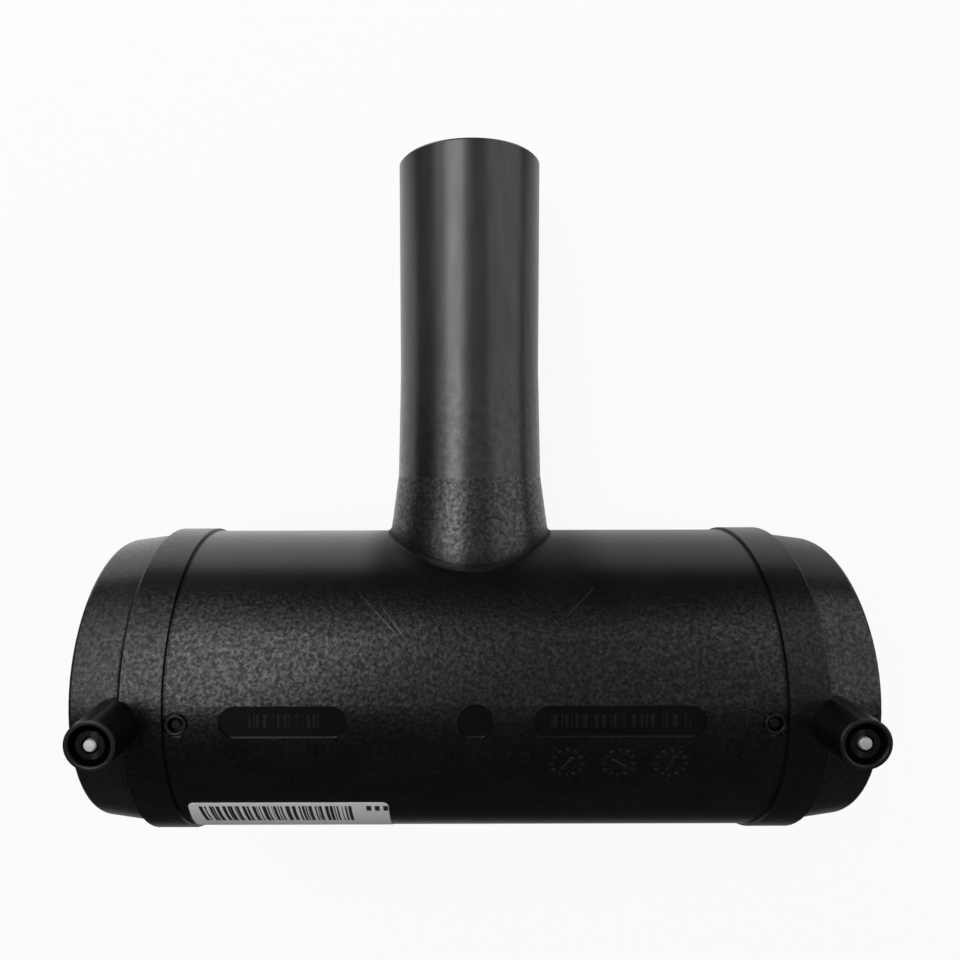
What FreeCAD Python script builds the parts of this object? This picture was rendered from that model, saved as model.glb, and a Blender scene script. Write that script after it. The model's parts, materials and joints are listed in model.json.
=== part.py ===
import FreeCAD, Part
import math
import os
import re
import Sketcher
from FreeCAD import Rotation, Vector

# An electrofusion reducing tee in black polyethylene. Its run has a socket at each end that is
# welded to a 110 mm pipe by a heating wire wound in the socket wall, and its branch is a plain
# 63 mm spigot. Two shrouded terminals, two fusion indicators and a paper label face the front.
# The tee is drawn with the run along X, the branch up Z and the terminals towards -Y. Then every
# piece is laid on its back, as the tee rests on a bench: on the raised bands and the spigot's lip.

doc = FreeCAD.newDocument("reducing_tee")
sheet = doc.addObject("Spreadsheet::Sheet", "Sizes")

SIZES = (
    ("run_length", 316.0, "run, end to end"),
    ("pipe_radius", 55.0, "outside radius of the pipe that the sockets take"),
    ("socket_clearance", 0.3, "socket bore over pipe, on the radius"),
    ("body_wall", 11.0, "wall of the run round its sockets"),
    ("band_rise", 1.1, "raised band near each end, above the run"),
    ("band_width", 15.8, "raised band, along the run"),
    ("band_step_run", 0.3, "run of the small step up to the band"),
    ("shoulder_run", 2.1, "bevel from the band down to the collar"),
    ("collar_length", 20.6, "tapered collar at each end of the run"),
    ("collar_root_drop", 1.5, "collar below the run beside the shoulder"),
    ("collar_end_drop", 4.1, "collar below the run where the end rounding starts"),
    ("collar_rounding", 1.6, "rounding of the outer end edge, as two bevels"),
    ("socket_depth", 80.0, "depth of each socket to its stop"),
    ("mouth_bevel", 1.8, "bevel at the mouth of each socket"),
    ("mouth_bevel_run", 3.5, "how far the mouth bevel runs in"),
    ("flow_radius", 45.0, "bore of the run between the stops"),
    ("stop_bevel", 2.5, "bevel at the inner edge of each stop"),
    ("spigot_radius", 31.5, "outside radius of the branch spigot"),
    ("spigot_wall", 5.8, "wall of the branch spigot"),
    ("branch_height", 231.9, "spigot end above the axis of the run"),
    ("spigot_length", 92.3, "straight part of the spigot"),
    ("spigot_bevel", 1.0, "bevel at the end of the spigot"),
    ("neck_length", 47.2, "slightly tapered neck under the spigot"),
    ("neck_root_radius", 32.75, "neck radius where the foot begins"),
    ("foot_height", 54.2, "height at which the foot radius is measured"),
    ("foot_radius", 38.1, "foot radius at that height"),
    ("foot_fillet", 3.0, "fillet between the foot and the run"),
    ("terminal_inset", 20.1, "terminal axis from the end of the run"),
    ("terminal_rise", 18.9, "terminal tip above the run"),
    ("terminal_root_radius", 10.22, "post radius at its root, halfway into the wall"),
    ("terminal_tip_radius", 9.32, "post radius at its tip"),
    ("shroud_wall", 1.6, "wall of the shroud round the contact"),
    ("shroud_depth", 15.0, "depth of the ring groove in the shroud"),
    ("sleeve_radius", 5.3, "outside radius of the sleeve round the pin"),
    ("sleeve_bore_radius", 3.2, "bore of that sleeve"),
    ("sleeve_setback", 0.8, "sleeve end below the lip of the shroud"),
    ("contact_depth", 12.0, "depth of the free space round the pin"),
    ("contact_radius", 2.35, "radius of the contact pin"),
    ("contact_bevel", 0.4, "bevel at the end of the contact pin"),
    ("contact_setback", 0.2, "contact end below the lip of the shroud"),
    ("stem_radius", 1.5, "radius of the pin's stem in the wall"),
    ("pin_clearance", 0.03, "moulded hole over pin, on the radius"),
    ("wire_width", 1.2, "section of the heating wire"),
    ("wire_clearance", 0.05, "wire to the wall of its seat"),
    ("wire_lead_inset", 0.05, "lead between the coils under the wire's width, on each face"),
    ("wire_turns", 5.0, "turns of wire in each socket"),
    ("fusion_length", 46.0, "length of the wound zone in each socket"),
    ("indicator_inset", 43.6, "fusion indicator from the end of the run"),
    ("indicator_recess_radius", 5.0, "radius of the recess round the indicator"),
    ("indicator_recess_depth", 0.8, "depth of that recess"),
    ("indicator_collar_radius", 4.0, "outside radius of the raised collar"),
    ("indicator_collar_bore", 3.05, "bore of the raised collar"),
    ("indicator_collar_rise", 0.4, "collar above the body"),
    ("indicator_well_depth", 3.8, "depth of the well inside the collar"),
    ("indicator_web", 1.95, "wall between the indicator's own hole and the wire's seat"),
    ("indicator_radius", 1.88, "radius of the indicator pin"),
    ("indicator_setback", 0.5, "indicator end below the body's surface"),
    ("indicator_bevel", 0.3, "bevel at the end of the indicator pin"),
    ("panel_depth", 0.8, "depth of the smooth marking panels"),
    ("panel_height", 12.3, "height of the long panels"),
    ("panel_rise", 0.9, "middle of the panels above the run's axis"),
    ("left_panel_gap", 16.3, "left panel from the axis of the fusion indicator"),
    ("left_panel_length", 49.1, "length of the left panel"),
    ("right_panel_start", 22.4, "right panel from the middle of the run"),
    ("right_panel_length", 65.9, "length of the right panel"),
    ("disc_radius", 6.8, "round panel at the gate"),
    ("label_length", 80.1, "label along the run, at its top edge"),
    ("label_inset", 0.3, "label's left corner from the step up to the band"),
    ("label_slant", 4.4, "how far the label's left end leans outwards"),
    ("label_height", 40.0, "label round the run"),
    ("label_top_angle", 33.0, "label's top edge below the front, in degrees"),
    ("label_thickness", 0.16, "thickness of the label"),
    ("label_gap", 0.03, "label to the body"),
    ("label_corner", 2.5, "corner radius of the label"),
)

for row, (alias, value, what) in enumerate(SIZES, 1):
    sheet.set(f"A{row}", what)
    sheet.set(f"B{row}", str(value))
    sheet.setAlias(f"B{row}", alias)
doc.recompute()


def size(formula):
    """The value of a formula on the sheet's sizes, in millimetres or degrees."""
    value = sheet.evalExpression(formula)
    return float(getattr(value, "Value", value))


# Places that several pieces share, as formulas on the sheet's sizes.
END = "run_length / 2"
BAND_OUT = "run_length / 2 - collar_length - shoulder_run"
BAND_IN = f"{BAND_OUT} - band_width"
SOCKET = "pipe_radius + socket_clearance"
BODY = f"({SOCKET} + body_wall)"
BAND = f"{BODY} + band_rise"
STOP = "run_length / 2 - socket_depth"
TERMINAL = "run_length / 2 - terminal_inset"
TIP = f"({BODY} + terminal_rise)"
ROOT = f"({SOCKET} + body_wall / 2)"
INDICATOR = "run_length / 2 - indicator_inset"
WIRE_SEAT = f"{SOCKET} + wire_width + wire_clearance"
WIRE_IN = f"{TERMINAL} - fusion_length"
SEAT_IN = f"{WIRE_IN} - wire_width"
SEAT_OUT = f"{TERMINAL} + stem_radius + wire_width"
PLUG_FOOT = f"({WIRE_SEAT} + indicator_web)"
BORE = "spigot_radius - spigot_wall"


def bound(formula):
    """The same formula as an expression that another object can hold."""
    names = {alias for alias, value, what in SIZES}
    return re.sub(r"[a-z_]+", lambda m: f"Sizes.{m[0]}" if m[0] in names else m[0], formula)


tilt = math.degrees(
    math.asin(size(BAND) / math.hypot(size("spigot_radius"), size("branch_height - spigot_bevel")))
    - math.atan2(size("spigot_radius"), size("branch_height - spigot_bevel"))
)
LYING = FreeCAD.Placement(Vector(0, 0, 0), Rotation(Vector(1, 0, 0), -90 - tilt))


def new_body(name):
    body = doc.addObject("PartDesign::Body", name)
    body.Label = name
    body.Placement = LYING
    return body


def plane(body, role):
    return next(f for f in body.Origin.OriginFeatures if f.Role == role)


def sketch_on(body, name, role, shift=(None, None, None)):
    """An empty sketch on one of the body's own planes, moved by formulas along its own axes."""
    sketch = body.newObject("Sketcher::SketchObject", name)
    sketch.AttachmentSupport = [(plane(body, role), "")]
    sketch.MapMode = "FlatFace"
    for axis, formula in zip("xyz", shift):
        if formula:
            sketch.setExpression(f"AttachmentOffset.Base.{axis}", bound(formula))
    return sketch


def pin_down(sketch, index, end, x, y):
    """Ties one end of a curve to a place given by two formulas, or by one where the other is None."""
    for kind, axis, formula in (("DistanceX", -2, x), ("DistanceY", -1, y)):
        if formula == "0":
            sketch.addConstraint(Sketcher.Constraint("PointOnObject", index, end, axis))
        elif formula:
            number = sketch.addConstraint(Sketcher.Constraint(kind, -1, 1, index, end, size(formula)))
            sketch.setExpression(f"Constraints[{number}]", bound(formula))


def draw_loop(sketch, corners):
    """A closed loop of straight lines through corners, each given by two formulas."""
    first = sketch.GeometryCount
    points = [Vector(size(x), size(y), 0) for x, y in corners]
    for a, b in zip(points, points[1:] + points[:1]):
        sketch.addGeometry(Part.LineSegment(a, b), False)
    for i, (x, y) in enumerate(corners):
        after = first + (i + 1) % len(corners)
        sketch.addConstraint(Sketcher.Constraint("Coincident", first + i, 2, after, 1))
        pin_down(sketch, first + i, 1, x, y)


def draw_circle(sketch, x, y, radius):
    index = sketch.addGeometry(Part.Circle(Vector(size(x), size(y), 0), Vector(0, 0, 1), size(radius)), False)
    pin_down(sketch, index, 3, x, y)
    number = sketch.addConstraint(Sketcher.Constraint("Radius", index, size(radius)))
    sketch.setExpression(f"Constraints[{number}]", bound(radius))


def draw_stadium(sketch, middle, rise, length, height):
    """A panel outline with two straight sides and two half-round ends."""
    half, r = size(f"({length} - {height}) / 2"), size(f"{height} / 2")
    cx, cy = size(middle), size(rise)
    right = Part.Arc(Vector(cx + half, cy - r, 0), Vector(cx + half + r, cy, 0), Vector(cx + half, cy + r, 0))
    left = Part.Arc(Vector(cx - half, cy + r, 0), Vector(cx - half - r, cy, 0), Vector(cx - half, cy - r, 0))
    top = Part.LineSegment(Vector(cx + half, cy + r, 0), Vector(cx - half, cy + r, 0))
    bottom = Part.LineSegment(Vector(cx - half, cy - r, 0), Vector(cx + half, cy - r, 0))
    a, b, c, d = (sketch.addGeometry(curve, False) for curve in (right, top, left, bottom))
    for one, two in ((a, b), (b, c), (c, d), (d, a)):
        sketch.addConstraint(Sketcher.Constraint("Coincident", one, 2, two, 1))
    for arc, sign in ((a, "+"), (c, "-")):
        x = f"{middle} {sign} ({length} - {height}) / 2"
        lower, upper = (1, 2) if arc == a else (2, 1)
        pin_down(sketch, arc, 3, x, rise)
        pin_down(sketch, arc, lower, x, f"{rise} - {height} / 2")
        pin_down(sketch, arc, upper, x, None)


def turned(body, name, sketch, axis, cut=False):
    """A full turn of a sketch about one of its own axes, added or cut."""
    feature = body.newObject("PartDesign::Groove" if cut else "PartDesign::Revolution", name)
    feature.Profile = sketch
    feature.ReferenceAxis = (sketch, [axis])
    feature.Angle = 360
    sketch.Visibility = False
    doc.recompute()
    return feature


def mirrored(corners):
    """Corners of one half, from the middle outwards, and their mirror image in reverse."""
    return [(f"-({x})", y) for x, y in reversed(corners)] + list(corners)


def rounded(body, name, base, chosen, radius):
    """A fillet on the edges of a feature that the test picks."""
    picked = [f"Edge{i}" for i, edge in enumerate(base.Shape.Edges, 1) if chosen(edge)]
    if not picked:
        raise RuntimeError(f"{name} found no edge")
    feature = body.newObject("PartDesign::Fillet", name)
    feature.Base = (base, picked)
    feature.setExpression("Radius", bound(radius))
    doc.recompute()
    return feature


# The moulded body. The run, the branch and the terminal posts are turned solids, joined.
tee = new_body("tee_body")

run_outside = sketch_on(tee, "RunOutside", "XZ_Plane")
draw_loop(run_outside, mirrored((
    (f"{BAND_IN} - band_step_run", BODY),
    (BAND_IN, BAND),
    (BAND_OUT, BAND),
    (f"{BAND_OUT} + shoulder_run", f"{BODY} - collar_root_drop"),
    (f"{END} - collar_rounding", f"{BODY} - collar_end_drop"),
    (f"{END} - 0.3 * collar_rounding", f"{BODY} - collar_end_drop - 0.3 * collar_rounding"),
    (END, f"{BODY} - collar_end_drop - collar_rounding"),
    (END, "0"),
)))
run = turned(tee, "Run", run_outside, "H_Axis")

foot_slope = "(foot_radius - neck_root_radius) / (branch_height - spigot_length - neck_length - foot_height)"
branch_outside = sketch_on(tee, "BranchOutside", "XZ_Plane")
draw_loop(branch_outside, (
    ("0", "flow_radius / 2"),
    (f"foot_radius + (foot_height - flow_radius / 2) * {foot_slope}", "flow_radius / 2"),
    ("neck_root_radius", "branch_height - spigot_length - neck_length"),
    ("spigot_radius", "branch_height - spigot_length"),
    ("spigot_radius", "branch_height - spigot_bevel"),
    ("spigot_radius - spigot_bevel", "branch_height"),
    ("0", "branch_height"),
))
branch = turned(tee, "Branch", branch_outside, "V_Axis")


def foot_edge(edge):
    """The curve where the foot of the branch meets the run."""
    near = [math.hypot(v.Point.y, v.Point.z) - size(BODY) for v in edge.Vertexes]
    middle = edge.valueAt((edge.FirstParameter + edge.LastParameter) / 2)
    near.append(math.hypot(middle.y, middle.z) - size(BODY))
    across = math.hypot(middle.x, middle.y)
    return max(map(abs, near)) < 0.01 and across < 2 * size("spigot_radius") and middle.z > 0


rounded(tee, "FootFillet", branch, foot_edge, "foot_fillet")

post_outside = sketch_on(tee, "PostOutside", "XY_Plane", (TERMINAL, None, None))
draw_loop(post_outside, (
    ("0", f"-{ROOT}"),
    ("terminal_root_radius", f"-{ROOT}"),
    ("terminal_tip_radius", f"-{TIP}"),
    ("0", f"-{TIP}"),
))
post = turned(tee, "Post", post_outside, "V_Axis")

collar_outside = sketch_on(tee, "IndicatorCollarOutside", "XY_Plane", (INDICATOR, None, None))
draw_loop(collar_outside, (
    ("0", f"-({BODY} - indicator_well_depth)"),
    ("indicator_collar_radius", f"-({BODY} - indicator_well_depth)"),
    ("indicator_collar_radius", f"-({BODY} + indicator_collar_rise)"),
    ("0", f"-({BODY} + indicator_collar_rise)"),
))
collar = turned(tee, "IndicatorCollar", collar_outside, "V_Axis")

posts = tee.newObject("PartDesign::Mirrored", "PostsAndCollars")
posts.Originals = [post, collar]
posts.MirrorPlane = (plane(tee, "YZ_Plane"), [""])
tee.Tip = posts
doc.recompute()

# The hollows: the bore with its sockets and wire seats, then the branch bore.
bore_inside = sketch_on(tee, "RunInside", "XZ_Plane")
draw_loop(bore_inside, mirrored((
    (f"{STOP} - stop_bevel", "flow_radius"),
    (STOP, "flow_radius + stop_bevel"),
    (STOP, SOCKET),
    (SEAT_IN, SOCKET),
    (SEAT_IN, WIRE_SEAT),
    (SEAT_OUT, WIRE_SEAT),
    (SEAT_OUT, SOCKET),
    (f"{END} - mouth_bevel_run", SOCKET),
    (END, f"{SOCKET} + mouth_bevel"),
    (END, "0"),
)))
bore = turned(tee, "RunBore", bore_inside, "H_Axis", cut=True)

branch_inside = sketch_on(tee, "BranchInside", "XZ_Plane")
draw_loop(branch_inside, (
    ("0", "0"),
    (BORE, "0"),
    (BORE, "branch_height"),
    ("0", "branch_height"),
))
branch_bore = turned(tee, "BranchBore", branch_inside, "V_Axis", cut=True)

# A channel in the wall that leads the wire from one socket to the other.
channel_section = sketch_on(tee, "WireChannelSection", "XZ_Plane", (None, None, f"{SOCKET} - wire_clearance"))
draw_loop(channel_section, (
    (f"-({WIRE_IN})", "-(wire_width / 2 + wire_clearance)"),
    (WIRE_IN, "-(wire_width / 2 + wire_clearance)"),
    (WIRE_IN, "wire_width / 2 + wire_clearance"),
    (f"-({WIRE_IN})", "wire_width / 2 + wire_clearance"),
))
channel = tee.newObject("PartDesign::Pocket", "WireChannel")
channel.Profile = channel_section
channel.setExpression("Length", bound("wire_width + 2 * wire_clearance"))
channel.Reversed = True
doc.recompute()

# The hollow of a terminal: a ring groove round the sleeve, the space round the contact and the
# hole that holds the pin's stem. The hollow of a fusion indicator is a recess with a well.
post_inside = sketch_on(tee, "PostInside", "XY_Plane", (TERMINAL, None, None))
draw_loop(post_inside, (
    ("0", f"-({WIRE_SEAT} - wire_clearance - wire_width)"),
    ("stem_radius + pin_clearance", f"-({WIRE_SEAT} - wire_clearance - wire_width)"),
    ("stem_radius + pin_clearance", f"-({TIP} - contact_depth)"),
    ("sleeve_bore_radius", f"-({TIP} - contact_depth)"),
    ("sleeve_bore_radius", f"-({TIP} - sleeve_setback)"),
    ("sleeve_radius", f"-({TIP} - sleeve_setback)"),
    ("sleeve_radius", f"-({TIP} - shroud_depth)"),
    ("terminal_tip_radius - shroud_wall", f"-({TIP} - shroud_depth)"),
    ("terminal_tip_radius - shroud_wall", f"-{TIP} - shroud_wall"),
    ("0", f"-{TIP} - shroud_wall"),
))
post_hollow = turned(tee, "PostHollow", post_inside, "V_Axis", cut=True)

indicator_inside = sketch_on(tee, "IndicatorInside", "XY_Plane", (INDICATOR, None, None))
draw_loop(indicator_inside, (
    ("0", f"-{PLUG_FOOT}"),
    ("indicator_radius + pin_clearance", f"-{PLUG_FOOT}"),
    ("indicator_radius + pin_clearance", f"-({BODY} - indicator_well_depth)"),
    ("indicator_collar_bore", f"-({BODY} - indicator_well_depth)"),
    ("indicator_collar_bore", f"-({BODY} + indicator_recess_radius)"),
    ("0", f"-({BODY} + indicator_recess_radius)"),
))
draw_loop(indicator_inside, (
    ("indicator_collar_radius", f"-({BODY} - indicator_recess_depth)"),
    ("indicator_recess_radius", f"-({BODY} - indicator_recess_depth)"),
    ("indicator_recess_radius", f"-({BODY} + indicator_recess_radius)"),
    ("indicator_collar_radius", f"-({BODY} + indicator_recess_radius)"),
))
indicator_hollow = turned(tee, "IndicatorHollow", indicator_inside, "V_Axis", cut=True)

hollows = tee.newObject("PartDesign::Mirrored", "PostAndIndicatorHollows")
hollows.Originals = [post_hollow, indicator_hollow]
hollows.MirrorPlane = (plane(tee, "YZ_Plane"), [""])
tee.Tip = hollows
doc.recompute()

# Smooth flat panels for marks, sunk in the front of the run.
panels_outline = sketch_on(tee, "PanelOutlines", "XZ_Plane", (None, None, f"{BODY} - panel_depth"))
left_middle = f"-({INDICATOR} - left_panel_gap - left_panel_length / 2)"
right_middle = "right_panel_start + right_panel_length / 2"
draw_stadium(panels_outline, left_middle, "panel_rise", "left_panel_length", "panel_height")
draw_stadium(panels_outline, right_middle, "panel_rise", "right_panel_length", "panel_height")
draw_circle(panels_outline, "0", "panel_rise", "disc_radius")
panels = tee.newObject("PartDesign::Pocket", "Panels")
panels.Profile = panels_outline
panels.setExpression("Length", bound("2 * panel_depth"))
panels.Reversed = True
doc.recompute()

# The heating wire: one wire, wound in each socket and led through the wall between them.
wire = new_body("heating_wire")
half = "wire_width / 2"
wire_middle = f"-({SOCKET} + wire_width / 2)"


def wire_square(body, name, x):
    """The wire's section at a place along the run, at the front of the winding."""
    section = sketch_on(body, name, "XY_Plane")
    draw_loop(section, (
        (f"{x} - {half}", f"{wire_middle} - {half}"),
        (f"{x} + {half}", f"{wire_middle} - {half}"),
        (f"{x} + {half}", f"{wire_middle} + {half}"),
        (f"{x} - {half}", f"{wire_middle} + {half}"),
    ))
    return section


for name, start in (("RightCoil", WIRE_IN), ("LeftCoil", f"-({TERMINAL})")):
    section = wire_square(wire, f"{name}Section", start)
    coil = wire.newObject("PartDesign::AdditiveHelix", name)
    coil.Profile = section
    coil.ReferenceAxis = (section, ["H_Axis"])
    coil.Mode = 0
    coil.setExpression("Pitch", bound("fusion_length / round(wire_turns)"))
    coil.setExpression("Height", bound("fusion_length"))
    doc.recompute()

lead_section = sketch_on(wire, "LeadSection", "XZ_Plane", (None, None, f"{SOCKET} + wire_lead_inset"))
draw_loop(lead_section, (
    (f"-({WIRE_IN})", "-(wire_width / 2 - wire_lead_inset)"),
    (WIRE_IN, "-(wire_width / 2 - wire_lead_inset)"),
    (WIRE_IN, "wire_width / 2 - wire_lead_inset"),
    (f"-({WIRE_IN})", "wire_width / 2 - wire_lead_inset"),
))
lead = wire.newObject("PartDesign::Pad", "Lead")
lead.Profile = lead_section
lead.setExpression("Length", bound("wire_width - 2 * wire_lead_inset"))
doc.recompute()

# What is alike at both ends: a contact pin that stands on its shoulder with its stem ending on
# the wire, and the small plug that the melt pushes up in its well.
pieces = [tee, wire]
for side, sign in (("left", "-"), ("right", "")):
    contact = new_body(f"terminal_pin_{side}")
    contact_outline = sketch_on(contact, "Outline", "XY_Plane", (f"{sign}({TERMINAL})", None, None))
    draw_loop(contact_outline, (
        ("0", f"-({WIRE_SEAT})"),
        ("stem_radius", f"-({WIRE_SEAT})"),
        ("stem_radius", f"-({TIP} - contact_depth)"),
        ("contact_radius", f"-({TIP} - contact_depth)"),
        ("contact_radius", f"-({TIP} - contact_setback - contact_bevel)"),
        ("contact_radius - contact_bevel", f"-({TIP} - contact_setback)"),
        ("0", f"-({TIP} - contact_setback)"),
    ))
    turned(contact, "Turning", contact_outline, "V_Axis")

    plug = new_body(f"fusion_indicator_{side}")
    plug_outline = sketch_on(plug, "Outline", "XY_Plane", (f"{sign}({INDICATOR})", None, None))
    draw_loop(plug_outline, (
        ("0", f"-{PLUG_FOOT}"),
        ("indicator_radius", f"-{PLUG_FOOT}"),
        ("indicator_radius", f"-({BODY} - indicator_setback - indicator_bevel)"),
        ("indicator_radius - indicator_bevel", f"-({BODY} - indicator_setback)"),
        ("0", f"-({BODY} - indicator_setback)"),
    ))
    turned(plug, "Turning", plug_outline, "V_Axis")
    pieces += [contact, plug]

# The label: a block padded outwards along the label's own middle direction, with its corners
# rounded, then cut away inside and outside until only the bent sheet is left.
label = new_body("label")
label_outline = sketch_on(label, "Outline", "XZ_Plane")
label_outline.setExpression(
    "AttachmentOffset.Rotation.Angle", bound(f"label_top_angle + label_height / (2 * {BODY}) * 180 / pi")
)
label_outline.setExpression("AttachmentOffset.Rotation.Axis.x", "1")
label_outline.setExpression("AttachmentOffset.Rotation.Axis.z", "0")
label_out = f"{BAND_IN} - band_step_run - label_inset"
half_chord = f"{BODY} * sin(label_height / (2 * {BODY}) * 1 rad)"
draw_loop(label_outline, (
    (f"-({label_out})", f"-({half_chord})"),
    (f"-({label_out} - label_slant - label_length)", f"-({half_chord})"),
    (f"-({label_out} - label_slant - label_length)", half_chord),
    (f"-({label_out} - label_slant)", half_chord),
))
block = label.newObject("PartDesign::Pad", "Block")
block.Profile = label_outline
block.setExpression("Length", bound(f"2 * {BODY}"))
doc.recompute()


def long_edge(edge):
    return abs(edge.Length - size(f"2 * {BODY}")) < 0.01


corners = rounded(label, "Corners", block, long_edge, "label_corner")
for name, inner, outer in (
    ("InsideCut", "0", f"{BODY} + label_gap"),
    ("OutsideCut", f"{BODY} + label_gap + label_thickness", f"3 * {BODY}"),
):
    section = sketch_on(label, f"{name}Section", "XZ_Plane")
    draw_loop(section, (
        ("-run_length", inner),
        ("0", inner),
        ("0", outer),
        ("-run_length", outer),
    ))
    turned(label, name, section, "H_Axis", cut=True)
pieces.append(label)

doc.recompute()
for thing in doc.Objects:
    if {"Invalid", "Error"} & set(thing.State):
        raise RuntimeError(f"{thing.Name} failed: {thing.State}")
for piece in pieces:
    if piece.Shape.isNull() or not piece.Shape.isValid():
        raise RuntimeError(f"{piece.Label} has no valid shape")

os.makedirs("parts", exist_ok=True)
for piece in pieces:
    piece.Shape.exportStep(f"parts/{piece.Label}.step")
    print(piece.Label, len(piece.Shape.Solids), "solid,", round(piece.Shape.Volume), "mm3")
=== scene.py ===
import json
import math
from mathutils import Matrix, Vector
import bpy


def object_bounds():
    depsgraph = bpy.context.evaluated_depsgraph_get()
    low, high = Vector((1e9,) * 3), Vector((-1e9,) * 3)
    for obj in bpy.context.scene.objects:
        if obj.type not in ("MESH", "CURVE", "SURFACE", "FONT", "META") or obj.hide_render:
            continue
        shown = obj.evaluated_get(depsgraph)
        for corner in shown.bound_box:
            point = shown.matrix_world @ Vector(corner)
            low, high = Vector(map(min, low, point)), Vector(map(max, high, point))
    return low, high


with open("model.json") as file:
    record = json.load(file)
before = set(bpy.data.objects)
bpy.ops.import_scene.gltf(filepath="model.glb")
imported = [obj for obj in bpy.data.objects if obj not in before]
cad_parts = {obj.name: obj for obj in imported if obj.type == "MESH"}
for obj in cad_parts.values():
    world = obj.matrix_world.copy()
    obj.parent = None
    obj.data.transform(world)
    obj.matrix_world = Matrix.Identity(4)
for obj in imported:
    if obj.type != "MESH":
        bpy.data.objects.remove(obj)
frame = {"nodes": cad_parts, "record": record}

packed_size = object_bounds()
nodes = frame["nodes"]
mounts = {mount["name"]: mount for mount in frame["record"]["mounts"]}

# The tee's body: one injection moulding in black polyethylene. Its mould is spark-eroded, which
# leaves a grain on the run and on the foot of the branch, and polished for the spigot, the
# terminals and the sunk panels. Handling has left scuffs on it, and its corners are painted shade.
run_axis = Vector(mounts["run_bore"]["axis"])
branch_axis = Vector(mounts["branch_spigot"]["axis"])
terminal_axis = Vector(mounts["terminal_left"]["axis"])

# Radii and places in millimetres, from the middle of the run.
run_radius = 66.3
wall_middle = 62.5
band_radius = 67.4
socket_radius = mounts["socket_left"]["dims"]["r_mm"]
band_start = 119.5
band_end = 135.0
shoulder_x = 136.3
collar_start = 138.0
terminal_x = 1000 * mounts["terminal_right"]["pos_m"][0]
indicator_x = 114.4
branch_front = 49.0
post_back = 53.0
grain_end = 92.4
panels_end = 101.5
panel_middle = 0.9
panel_foot = -5.2


class Value:
    """A socket of a material, with the arithmetic that its patterns need."""

    def __init__(self, tree, socket):
        self.tree = tree
        self.socket = socket

    def node(self, kind, settings=(), inputs=(), output=0):
        """Any other node: its type, its settings, and the values or links of its sockets."""
        made = self.tree.nodes.new(kind)
        for name, value in dict(settings).items():
            if name == "stops":
                for stop, (position, colour) in zip(made.color_ramp.elements, value):
                    stop.position = position
                    stop.color = (*colour, 1)
            else:
                setattr(made, name, value)
        for name, value in dict(inputs).items():
            fill(made.inputs[name], value)
        return Value(self.tree, made.outputs[output])

    def math(self, operation, *others):
        """A Math node on this value and the others."""
        return self.node("ShaderNodeMath", {"operation": operation}, enumerate((self, *others)))

    def __add__(self, other):
        return self.math("ADD", other)

    def __sub__(self, other):
        return self.math("SUBTRACT", other)

    def __rsub__(self, other):
        return self.node("ShaderNodeMath", {"operation": "SUBTRACT"}, {0: other, 1: self})

    def __mul__(self, other):
        return self.math("MULTIPLY", other)

    def __truediv__(self, other):
        return self.math("DIVIDE", other)

    def __rtruediv__(self, other):
        return self.node("ShaderNodeMath", {"operation": "DIVIDE"}, {0: other, 1: self})

    def __abs__(self):
        return self.math("ABSOLUTE")

    __radd__ = __add__
    __rmul__ = __mul__

    def squared(self):
        return self * self

    def either(self, other):
        """The greater of two values, which joins two zones."""
        return self.math("MAXIMUM", other)

    def rise(self, low, high):
        """0 below low, 1 above high and smooth between them."""
        return self.node(
            "ShaderNodeMapRange",
            {"interpolation_type": "SMOOTHSTEP"},
            {"Value": self, "From Min": low, "From Max": high},
        )

    def past(self, edge, soft):
        """0 before an edge and 1 past it, over so wide a strip."""
        return self.rise(edge - soft / 2, edge + soft / 2)

    def before(self, edge, soft):
        """1 before an edge and 0 past it, over so wide a strip."""
        return 1 - self.past(edge, soft)

    def between(self, start, end, soft):
        """1 from start to end and 0 on either side."""
        return self.past(start, soft) * self.before(end, soft)

    def wrapped(self, pitch):
        """How far it is past the nearest of a row of places, one at 0 and one every pitch."""
        return self.math("WRAP", pitch / 2, -pitch / 2)

    def noise(self, scale, detail=2.0, roughness=0.5):
        """A noise of about that many features in a millimetre, from a place in millimetres."""
        return self.node(
            "ShaderNodeTexNoise",
            (),
            {"Vector": self, "Scale": scale, "Detail": detail, "Roughness": roughness},
        )

    def beat(self, scale):
        """A noise along one line, for bars of uneven width."""
        return self.node(
            "ShaderNodeTexNoise", {"noise_dimensions": "1D"}, {"W": self, "Scale": scale, "Detail": 1.0}
        )

    def shade(self, dark, light):
        """A colour between two stops, each a value and a colour."""
        return self.node("ShaderNodeValToRGB", {"stops": (dark, light)}, {"Fac": self})

    def along(self, axis):
        """How far a place lies along an axis."""
        return self.node(
            "ShaderNodeVectorMath", {"operation": "DOT_PRODUCT"}, {0: self, 1: tuple(axis)}, "Value"
        )

    def mixed(self, first, second):
        """The first shader where this value is 0, and the second where it is 1."""
        return self.node("ShaderNodeMixShader", (), {0: self, 1: first, 2: second})


def fill(socket, value):
    """Links a value to a socket, or sets what is the same all over."""
    if isinstance(value, Value):
        value.tree.links.new(value.socket, socket)
    else:
        socket.default_value = value


def new_material(name):
    """A material, its shader and the place on the part in millimetres."""
    material = bpy.data.materials.new(name)
    material.use_nodes = True
    tree = material.node_tree
    place = Value(tree, None).node("ShaderNodeTexCoord", output="Object")
    place = place.node("ShaderNodeVectorMath", {"operation": "SCALE"}, {0: place, "Scale": 1000.0})
    return material, tree.nodes["Principled BSDF"], place


def feed(shader, **sockets):
    """Fills sockets of a shader, each named with _ for a space."""
    for name, value in sockets.items():
        fill(shader.inputs[name.replace("_", " ")], value)


def bumped(relief, unit):
    """A normal from a relief, in units of so many metres."""
    return relief.node("ShaderNodeBump", (), {"Height": relief, "Distance": unit})


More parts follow.
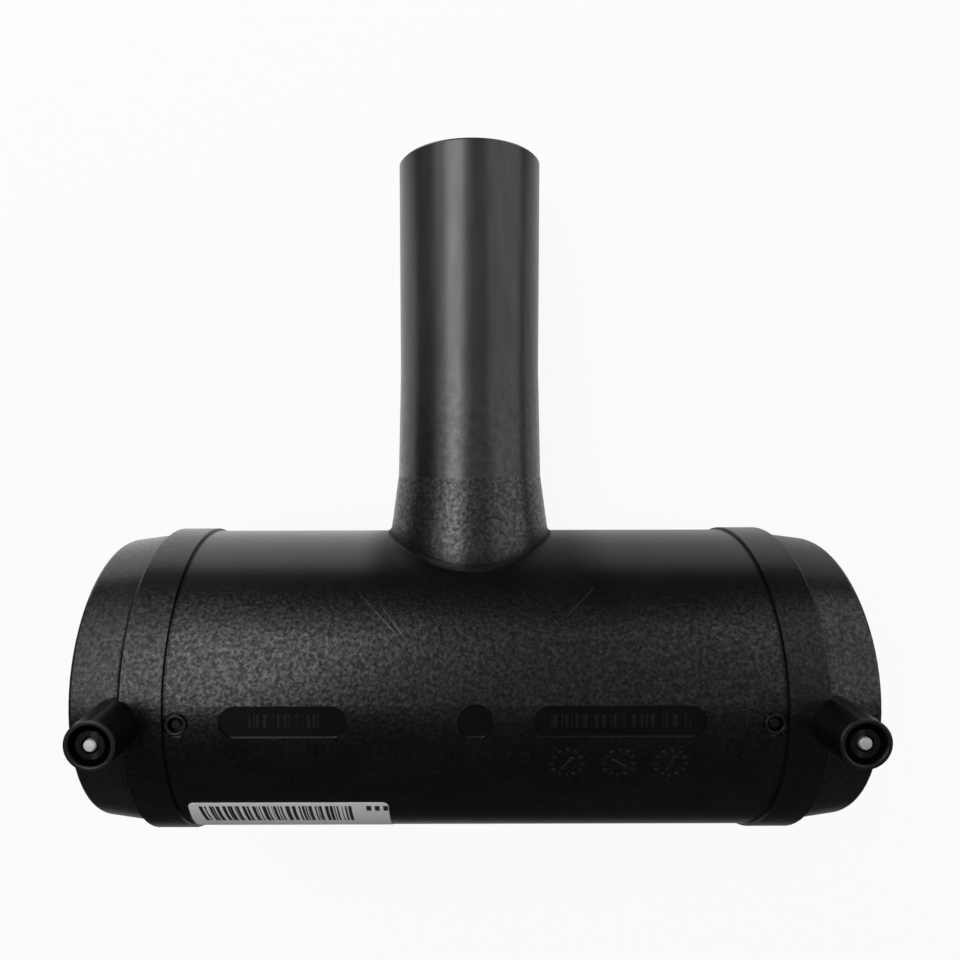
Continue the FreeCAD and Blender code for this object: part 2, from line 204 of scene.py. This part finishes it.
def cover(piece, material):
    piece.data.materials.clear()
    piece.data.materials.append(material)


def reach(a, b):
    """The distance from an axis, from the distances along two others."""
    return (a.squared() + b.squared()).math("SQRT")


def round_run(up, front):
    """The angle round the run, in degrees up from the middle of its front."""
    return up.math("ARCTAN2", front) * math.degrees(1)


black, shader, place = new_material("black_polyethylene")
x = place.along(run_axis)
up = place.along(branch_axis)
front = place.along(terminal_axis)
from_run = reach(up, front)
angle = round_run(up, front)
arc = angle * math.radians(run_radius)

# The zones of the moulding. Each is 1 on its zone and 0 off it.
skin = from_run.past(wall_middle, 1)
on_branch = from_run.past(band_radius + 0.6, 1) * front.before(branch_front, 2)
on_spigot = on_branch * up.past(grain_end, 1.2)
on_foot = on_branch * (1 - on_spigot)
on_post = from_run.past(band_radius + 0.8, 0.8) * front.past(post_back, 2)
on_panel = skin * from_run.before(run_radius - 0.25, 0.2) * abs(x).before(panels_end, 1)
on_ledge = skin * from_run.before(run_radius - 0.06, 0.08) * abs(up - panel_foot).before(0.45, 0.3)
on_band = abs(x).past(band_start, 0.6) * abs(x).before(band_end, 1)
on_shoulder = abs(abs(x) - shoulder_x).before(1.1, 0.4)
on_collar = abs(x).past(collar_start, 0.8) * (1 - on_post)
right_half = x.past(0, 2)
top_flank = (1 - on_branch) * angle.past(50, 16) * angle.before(112.5, 35)
above_base = angle.past(-90, 30)
low_flank = above_base * angle.before(-45, 20)
low_front = above_base * angle.before(-17.5, 35)
clear_of_foot = x.before(-42, 16).either(x.past(52, 28))

# The grain covers what the mould wasn't polished for, and is fainter on the flank by the branch.
grit = place.noise(0.6)
speckle = place.noise(0.64, roughness=0.55)
glints = place.noise(1.2, detail=0.0).rise(0.58, 0.75)
blotches = place.noise(0.3)
waves = place.noise(0.05, detail=1.0)
drawn_out = place.node("ShaderNodeMapping", (), {"Vector": place, "Scale": (1.0, 0.03, 1.0)})
draw_lines = drawn_out.noise(0.3, detail=1.0)
in_bore = from_run.before(socket_radius + 0.2, 1)
smooth = on_post.either(on_spigot).either(on_panel).either(in_bore)
grained = (1 - smooth) * (1 - top_flank * (0.3 + 0.5 * x.past(-band_start, 3)))

# Three date dials stand out under the right panel: a ring of ticks, and a hand that each has
# turned further than the one before.
dial_pitch = 20.0
middle_dial = 55.6
dial_row = -14.6
dials_start = middle_dial - 1.5 * dial_pitch
dials_end = middle_dial + 1.5 * dial_pitch
dials_foot = dial_row - 5.9
ring_start = 4.8
ring_end = 6.6
hand_length = 3.65
first_turn = 0.9
next_turn = 1.7
dial_x = (x - middle_dial).wrapped(dial_pitch)
dial_y = arc - math.radians(dial_row) * run_radius
from_dial = reach(dial_x, dial_y)
dial_angle = dial_y.math("ARCTAN2", dial_x)
ticks = (12 * dial_angle).math("COSINE").rise(-0.1, 0.5) * from_dial.between(ring_start, ring_end, 0.4)
dial_number = ((x - dials_start) / dial_pitch).math("FLOOR")
off_hand = from_dial * (dial_angle - first_turn - next_turn * dial_number).math("SINE")
hand = abs(off_hand).before(0.65, 0.5) * from_dial.before(hand_length, 0.5)
dials = ticks.either(hand) * x.between(dials_start + 0.2, dials_end - 0.2, 0.4)
dials = dials * angle.past(dials_foot, 1)

# A row of plain bars stands out in each long panel.
left_panel_x = -73.5
right_panel_x = 55.4
bar_pitch = 3.8
left_row = abs(x - left_panel_x).before(15.25, 0.5)
right_row = abs(x - right_panel_x).before(27.25, 0.5)
bar_height = abs(up - panel_middle).before(2.45, 0.3)
bar_cells = abs(x.wrapped(bar_pitch)).before(1.4, 0.2)
bars = on_panel * left_row.either(right_row) * bar_height * bar_cells * x.beat(0.7).rise(0.47, 0.53)


def scratch(start, end, width):
    """A straight scratch on the run between two places, each an x and an angle in degrees."""
    start_x, end_x = start[0], end[0]
    start_arc, end_arc = (math.radians(spot[1]) * run_radius for spot in (start, end))
    length = math.hypot(end_x - start_x, end_arc - start_arc)
    slope_x, slope_arc = (end_x - start_x) / length, (end_arc - start_arc) / length
    down = (x - start_x) * slope_x + (arc - start_arc) * slope_arc
    aside = (arc - start_arc) * slope_x - (x - start_x) * slope_arc
    return abs(aside).before(0.7 * width, 0.6 * width) * down.past(1, 2) * down.before(length - 2, 4)


long_pair = scratch((-45.9, 44), (-29.9, 29), 0.5).either(scratch((-38, 41), (-26, 26.6), 0.35))
scuffs = long_pair.either(scratch((49.4, 47), (36.7, 35.5), 0.4)) * (1 - on_branch)

# The lips of the terminals and the brims round the fusion indicators are rounded, each down
# from a crown along its middle.
lip_front = 84.75
lip_bore = 7.6
lip_crown = 8.5
from_post = reach(abs(x) - terminal_x, up)
on_lip = front.past(lip_front, 0.3) * from_post.past(lip_bore, 0.2)
lip_drop = on_lip * (from_post - lip_crown).squared()
brim_front = 66.4
brim_edge = 4.2
brim_crown = 3.55
from_plug = reach(abs(x) - indicator_x, up)
on_brim = front.past(brim_front, 0.2) * from_plug.before(brim_edge, 0.2)
brim_drop = on_brim * (from_plug - brim_crown).squared()

relief = grained * grit * 0.9 + on_spigot * draw_lines * 0.06 + dials * 1.8 + bars * 1.2
relief = relief - scuffs - lip_drop * 2.4 - brim_drop * 3.6

# How shiny each zone is: the weight of the coat on it.
# A thinner coat on the right half, on the low front and on the flank beside the foot is painted shade.
grain_sheen = speckle.rise(0.34, 0.78) * 0.52 + glints * 0.24
grain_sheen = grained * grain_sheen * (0.76 + 0.48 * blotches.rise(0.36, 0.64))
grain_sheen = grain_sheen * (1 - on_band * (0.25 + 0.25 * right_half)) * (1 - 0.75 * low_front)
foot_sheen = on_foot * speckle * (0.6 + 0.5 * x.past(12.5, 15))
spigot_sheen = on_spigot * (0.5 + 0.5 * draw_lines)
near_foot = on_spigot * up.before(135, 70)
neck_sheen = near_foot * (0.6 * speckle + blotches - 0.8)
collar_sheen = on_collar * (0.36 - 0.2 * right_half)
mark_sheen = dials * 0.5 + bars * 0.6 + scuffs
edge_sheen = on_ledge * 0.8 + on_lip * 0.6 + on_brim * 0.5
flank_sheen = top_flank * clear_of_foot * (0.9 - 0.25 * x.past(0, 120) - 0.35 * x.past(collar_start, 2))
sheen = grain_sheen + foot_sheen + spigot_sheen + neck_sheen + collar_sheen + mark_sheen + edge_sheen
sheen = sheen.either(flank_sheen).either(low_flank * 0.45).either(on_shoulder * 0.9)

feed(
    shader,
    Base_Color=waves.shade((0.3, (0.0020, 0.0020, 0.0022)), (0.7, (0.0036, 0.0036, 0.0038))),
    Roughness=0.29 + 0.05 * waves,
    IOR=1.52,
    Specular_IOR_Level=0.22,
    Coat_Weight=sheen,
    Coat_Roughness=0.27,
    Coat_IOR=1.6,
    Normal=bumped(relief, 0.0002),
)

# Painted shade: a dull black is mixed in beside the bands, in the corner round the foot and in
# the panels, where shade falls, and it darkens the pits of the grain.
beside_bands = abs(abs(x) - band_start + 0.7).before(0.75, 0.7) * angle.past(-2.5, 25) * (1 - on_post)
round_foot = from_run.past(66.6, 0.4) * from_run.before(71, 8) * up.past(35, 10) * abs(x).before(55, 10)
in_pits = grained * (1 - speckle.rise(0.22, 0.62))
in_panels = on_panel * (1 - on_ledge) * (1 - bars)
painted_shade = (beside_bands * 0.45).either(round_foot * 0.6).either(in_pits * 0.3).either(in_panels * 0.45)
shade_black = painted_shade.node("ShaderNodeBsdfDiffuse", (), {"Color": (0.004, 0.004, 0.004, 1)})
plastic = Value(black.node_tree, shader.outputs[0])
fill(black.node_tree.nodes["Material Output"].inputs["Surface"], painted_shade.mixed(plastic, shade_black))
cover(nodes["tee_body"], black)

# The heating wire: bare drawn resistance wire, wound in the wall of each socket. It shows only
# from inside the sockets.
wire, shader, place = new_material("resistance_wire")
scale = place.noise(0.8, detail=3.0)
feed(
    shader,
    Base_Color=scale.shade((0.35, (0.30, 0.21, 0.15)), (0.65, (0.48, 0.36, 0.27))),
    Metallic=1.0,
    Roughness=0.3 + 0.2 * scale,
)
cover(nodes["heating_wire"], wire)

# The contact pins: turned brass, plated, one standing in the middle of each shroud. The relief
# rounds the end of each a little and leans its shine up to the lamps.
plated, shader, place = new_material("plated_brass")
turning = place.noise(2.5, detail=3.0)
pin_x = abs(place.along(run_axis)) - terminal_x
pin_up = place.along(branch_axis)
dome = (pin_x.squared() + pin_up.squared()) * -0.14 - pin_up * 0.5
feed(
    shader,
    Base_Color=turning.shade((0.3, (0.50, 0.49, 0.475)), (0.7, (0.60, 0.59, 0.575))),
    Metallic=1.0,
    Roughness=0.54 + 0.16 * turning,
    Normal=bumped(turning * 0.2 + dome, 0.0002),
)
for side in ("left", "right"):
    pin = nodes[f"terminal_pin_{side}"]
    cover(pin, plated)

# The fusion indicators: small moulded plugs of the same black as the body. The melt pushes them
# up when the socket is welded.
plug_black, shader, place = new_material("indicator_plastic")
mottle = place.noise(1.5, detail=3.0)
feed(
    shader,
    Base_Color=mottle.shade((0.3, (0.003, 0.003, 0.0032)), (0.7, (0.005, 0.005, 0.0053))),
    Roughness=0.34 + 0.1 * mottle,
    Specular_IOR_Level=0.25,
    Normal=bumped(mottle, 0.00006),
)
for side in ("left", "right"):
    plug = nodes[f"fusion_indicator_{side}"]
    cover(plug, plug_black)

# The label: coated white paper, printed with plain bars and three dots, and stuck low on the
# front left of the run. Its places are x in millimetres and angles in degrees round the run.
print_top = -35.1
bars_foot = -48.1
dots_foot = -38.65
last_dot = -35.6
dot_pitch = 3.4
paper, shader, place = new_material("white_label")
x = place.along(run_axis)
angle = round_run(place.along(branch_axis), place.along(terminal_axis))
bar_ink = x.beat(0.75).rise(0.475, 0.5) * x.between(-111.3, -48.3, 0.2) * angle.past(bars_foot, 0.2)
dot_ink = abs((x - last_dot).wrapped(dot_pitch)).before(1, 0.2) * x.between(-44.4, -34.5, 0.2)
ink = bar_ink.either(dot_ink * angle.past(dots_foot, 0.3)) * angle.before(print_top, 0.2)
white_and_ink = {"Factor": ink, "A": (0.80, 0.80, 0.79, 1), "B": (0.02, 0.02, 0.02, 1)}
wear = place.noise(0.15, detail=3.0)
feed(
    shader,
    Base_Color=ink.node("ShaderNodeMix", {"data_type": "RGBA"}, white_and_ink, "Result"),
    Roughness=0.35 + 0.15 * wear,
)
cover(nodes["label"], paper)

# The studio: a pale floor under the tee, in a white room. To the camera floor and room are white.
# In the gloss of the tee only the floor close by is, and it darkens to the right and further off.
bpy.ops.mesh.primitive_plane_add(size=8, location=(0, 0, packed_size[0].z))
floor = bpy.context.object
floor.name = "floor"


def rays(value, kind):
    """1 for what rays of one kind see, in the tree of a value."""
    return value.node("ShaderNodeLightPath", output=f"Is {kind} Ray")


pale, shader, place = new_material("pale_floor")
across = place.along((1, 0, 0))
away = place.along((0, 1, 0))
near_tee = away.past(-180, 240) * away.before(300, 200) * abs(across).before(500, 400)
lit = near_tee * (0.8 - 0.25 * across.past(0, 160))
far = reach(across, away).past(1050, 900)
mirrored = rays(place, "Glossy")
seen = rays(place, "Camera").either(mirrored).either(rays(place, "Transmission"))
feed(shader, Base_Color=(0.85, 0.85, 0.85, 1), Roughness=0.9, Specular_IOR_Level=0.0)
bare_floor = Value(pale.node_tree, shader.outputs[0])
glow = place.node("ShaderNodeEmission", (), {"Color": (1, 1, 1, 1), "Strength": 1.0})
dim = place.node("ShaderNodeEmission", (), {"Color": (0.04, 0.04, 0.04, 1), "Strength": 1.0})
shown = (seen * (0.92 + 0.08 * far)).mixed(bare_floor, glow)
shown = (mirrored * (1 - lit)).mixed(shown, dim)
fill(pale.node_tree.nodes["Material Output"].inputs["Surface"], shown)
floor.data.materials.append(pale)

world = bpy.data.worlds.new("studio")
bpy.context.scene.world = world
world.use_nodes = True
room_light = world.node_tree.nodes["Background"]
fill(room_light.inputs["Color"], (1, 1, 1, 1))
fill(room_light.inputs["Strength"], 0.06)
room = Value(world.node_tree, room_light.outputs[0])
white = room.node("ShaderNodeBackground", (), {"Color": (1, 1, 1, 1), "Strength": 1.0})
seen = rays(room, "Camera").either(rays(room, "Transmission")).either(rays(room, "Glossy") * 0.01)
fill(world.node_tree.nodes["World Output"].inputs["Surface"], seen.mixed(room, white))

# The lamps are five softboxes before the front of the tee: a narrow key at its upper left with a
# broad one behind it, one at its upper right, and two faint ones that open the shadows.
lying = Matrix((run_axis, -terminal_axis, branch_axis)).transposed()


def softbox(name, azimuth, elevation, wide, tall, distance, radiance):
    """An area light at angles from the tee's front, in degrees, as are its width and height."""
    lamp = bpy.data.lights.new(name, "AREA")
    lamp.shape = "RECTANGLE"
    lamp.size = 2 * distance * math.tan(math.radians(wide / 2))
    lamp.size_y = 2 * distance * math.tan(math.radians(tall / 2))
    lamp.energy = radiance * math.pi * lamp.size * lamp.size_y
    box = bpy.data.objects.new(name, lamp)
    bpy.context.collection.objects.link(box)
    a, e = math.radians(azimuth), math.radians(elevation)
    towards = Vector((math.sin(a) * math.cos(e), -math.cos(a) * math.cos(e), math.sin(e)))
    turn = Matrix.Rotation(a, 3, "Z") @ Matrix.Rotation(math.pi / 2 - e, 3, "X")
    box.matrix_world = Matrix.Translation(lying @ (towards * distance)) @ (lying @ turn).to_4x4()


softbox("key_softbox", -25, 19, 24, 50, 1.6, 2.9)
softbox("key_spill", -33, 25, 44, 70, 1.7, 1.15)
softbox("side_softbox", 59, 21, 54, 60, 1.6, 1.0)
softbox("fill_softbox", 12, 20, 46, 58, 1.6, 0.4)
softbox("left_fill", -76, 42, 44, 62, 1.6, 0.3)

# The camera looks at the front of the tee from a little above the axis of its run.
camera = bpy.data.cameras.new("camera")
camera.sensor_width = 36
camera.lens = 26.522
camera.shift_x = 0.03727
camera.shift_y = 0.01626
camera.clip_start = 0.01
eye = bpy.data.objects.new("camera", camera)
bpy.context.collection.objects.link(eye)
eye_place = Vector((-0.01155, -0.32924, 0.1056))
pan, nod, roll = 0.00041, -0.06876, 0.00253
aim = Matrix.Rotation(pan, 3, "Z") @ Matrix.Rotation(nod, 3, "X") @ Matrix.Rotation(roll, 3, "Y")
aim = lying @ aim @ Matrix.Rotation(math.pi / 2, 3, "X")
eye.matrix_world = Matrix.Translation(lying @ eye_place) @ aim.to_4x4()
bpy.context.scene.camera = eye
bpy.context.scene.view_settings.view_transform = "Standard"
